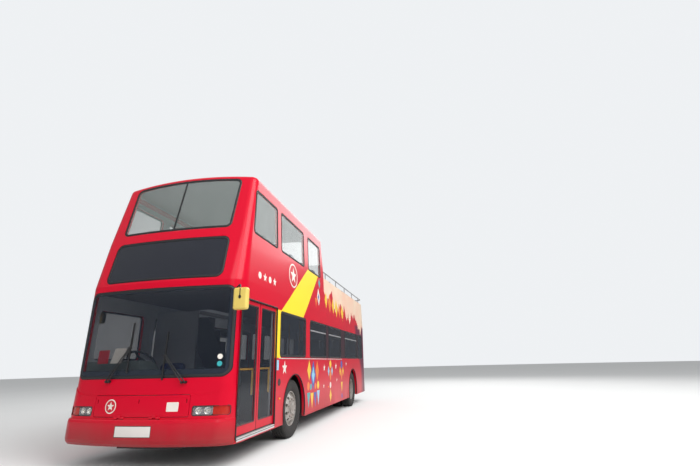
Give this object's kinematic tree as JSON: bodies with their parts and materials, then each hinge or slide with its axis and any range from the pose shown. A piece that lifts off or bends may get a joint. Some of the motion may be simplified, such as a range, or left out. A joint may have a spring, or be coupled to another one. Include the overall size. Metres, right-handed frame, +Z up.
{
  "type": "open top double decker bus",
  "caption": "Double deck sightseeing bus, roofed at the front of the upper deck and open behind, with steering, doors and access flaps that move.",
  "frame": {"origin": "on the ground at the middle of the bus's length and width", "axes": "+X to the bus's entrance side (its left), +Y to the rear, +Z up; the front faces -Y"},
  "size_m": [2.935, 9.8998, 4.27],
  "materials": {
    "red_paint": "gloss red coach paint",
    "grey_paint": "satin grey paint",
    "chassis_paint": "dull black chassis paint",
    "window_glass": "lightly tinted safety glass",
    "dark_glass": "dark display glass",
    "lamp_glass": "clear lamp lens",
    "indicator_glass": "amber lens",
    "reflector": "bright lamp reflector",
    "tail_glass": "red lamp lens",
    "tyre": "black tyre rubber",
    "rim": "silver wheel paint",
    "cast_iron": "dull casting",
    "floor": "speckled floor covering",
    "seat": "moulded seat shell",
    "trim": "grained dark plastic",
    "mirror_case": "yellow moulding",
    "rail_metal": "painted tube"
  },
  "bodies": {
    "bodywork": {"cab_partition": "trim", "chassis_frame": "chassis_paint", "dashboard": "trim", "deck_rails": "rail_metal", "display_glass": "dark_glass", "driver_seat": "seat", "engine": "cast_iron", "engine_bulkhead": "grey_paint", "front_axle": "chassis_paint", "front_bumper": "red_paint", "front_panel": "red_paint", "headlamps": "lamp_glass", "indicators": "indicator_glass", "lower_floor": "floor", "lower_glass": "window_glass", "lower_seats": "seat", "lower_side_nearside": "red_paint", "lower_side_offside": "red_paint", "mirrors": "mirror_case", "rear_axle": "cast_iron", "rear_bumper": "red_paint", "rear_panel_lower": "red_paint", "rear_panel_upper": "red_paint", "rear_window": "window_glass", "reflectors": "reflector", "roof": "red_paint", "saloon_poles": "rail_metal", "stair_guard": "rail_metal", "staircase": "grey_paint", "steering_wheel": "trim", "tail_lamps": "tail_glass", "upper_floor": "floor", "upper_front_panel": "red_paint", "upper_glass": "window_glass", "upper_seats": "seat", "upper_side_nearside": "red_paint", "upper_side_offside": "red_paint", "upper_windscreen": "window_glass", "wheelhouses": "grey_paint", "windscreen": "window_glass"},
    "front_flap": {"front_flap": "red_paint"},
    "engine_flap": {"engine_flap": "red_paint"},
    "front_door": {"front_door_leaf": "red_paint", "front_door_glass": "window_glass"},
    "rear_door": {"rear_door_leaf": "red_paint", "rear_door_glass": "window_glass"},
    "emergency_door": {"emergency_door": "red_paint", "emergency_door_glass": "window_glass"},
    "knuckle_nearside": {"knuckle_nearside": "cast_iron"},
    "knuckle_offside": {"knuckle_offside": "cast_iron"},
    "front_wheel_nearside": {"front_tyre_nearside": "tyre", "front_rim_nearside": "rim"},
    "front_wheel_offside": {"front_tyre_offside": "tyre", "front_rim_offside": "rim"},
    "rear_wheels_nearside": {"rear_tyres_nearside": "tyre", "rear_rims_nearside": "rim"},
    "rear_wheels_offside": {"rear_tyres_offside": "tyre", "rear_rims_offside": "rim"}
  },
  "joints": [
    {"name": "steer_nearside", "type": "hinge", "parent": "bodywork", "child": "knuckle_nearside", "pos_m": [0.96, -2.41, 0.479], "axis": [0, 0, 1], "range_deg": [-45, 45]},
    {"name": "steer_offside", "type": "hinge", "parent": "bodywork", "child": "knuckle_offside", "pos_m": [-0.96, -2.41, 0.479], "axis": [0, 0, 1], "range_deg": [-45, 45]},
    {"name": "front_wheel_nearside_spin", "type": "hinge", "parent": "knuckle_nearside", "child": "front_wheel_nearside", "pos_m": [1.082, -2.41, 0.479], "axis": [1, 0, 0], "continuous": true},
    {"name": "front_wheel_offside_spin", "type": "hinge", "parent": "knuckle_offside", "child": "front_wheel_offside", "pos_m": [-1.082, -2.41, 0.479], "axis": [1, 0, 0], "continuous": true},
    {"name": "rear_wheels_nearside_spin", "type": "hinge", "parent": "bodywork", "child": "rear_wheels_nearside", "pos_m": [0.935, 2.84, 0.479], "axis": [1, 0, 0], "continuous": true},
    {"name": "rear_wheels_offside_spin", "type": "hinge", "parent": "bodywork", "child": "rear_wheels_offside", "pos_m": [-0.935, 2.84, 0.479], "axis": [1, 0, 0], "continuous": true},
    {"name": "front_door_swing", "type": "hinge", "parent": "bodywork", "child": "front_door", "pos_m": [1.183, -4.563, 1.2], "axis": [0, 0, 1], "range_deg": [0, 88]},
    {"name": "rear_door_swing", "type": "hinge", "parent": "bodywork", "child": "rear_door", "pos_m": [1.183, -3.397, 1.2], "axis": [0, 0, -1], "range_deg": [0, 88]},
    {"name": "emergency_door_swing", "type": "hinge", "parent": "bodywork", "child": "emergency_door", "pos_m": [-1.27, 0.03, 1.29], "axis": [0, 0, 1], "range_deg": [0, 90]},
    {"name": "front_flap_swing", "type": "hinge", "parent": "bodywork", "child": "front_flap", "pos_m": [0, -4.90012, 0.627], "axis": [1, 0, 0], "range_deg": [0, 85]},
    {"name": "engine_flap_swing", "type": "hinge", "parent": "bodywork", "child": "engine_flap", "pos_m": [0, 4.941, 1.303], "axis": [1, 0, 0], "range_deg": [0, 85]}
  ],
  "couplings": [
    {"joint": "steer_offside", "follows": "steer_nearside", "ratio": 1}
  ]
}
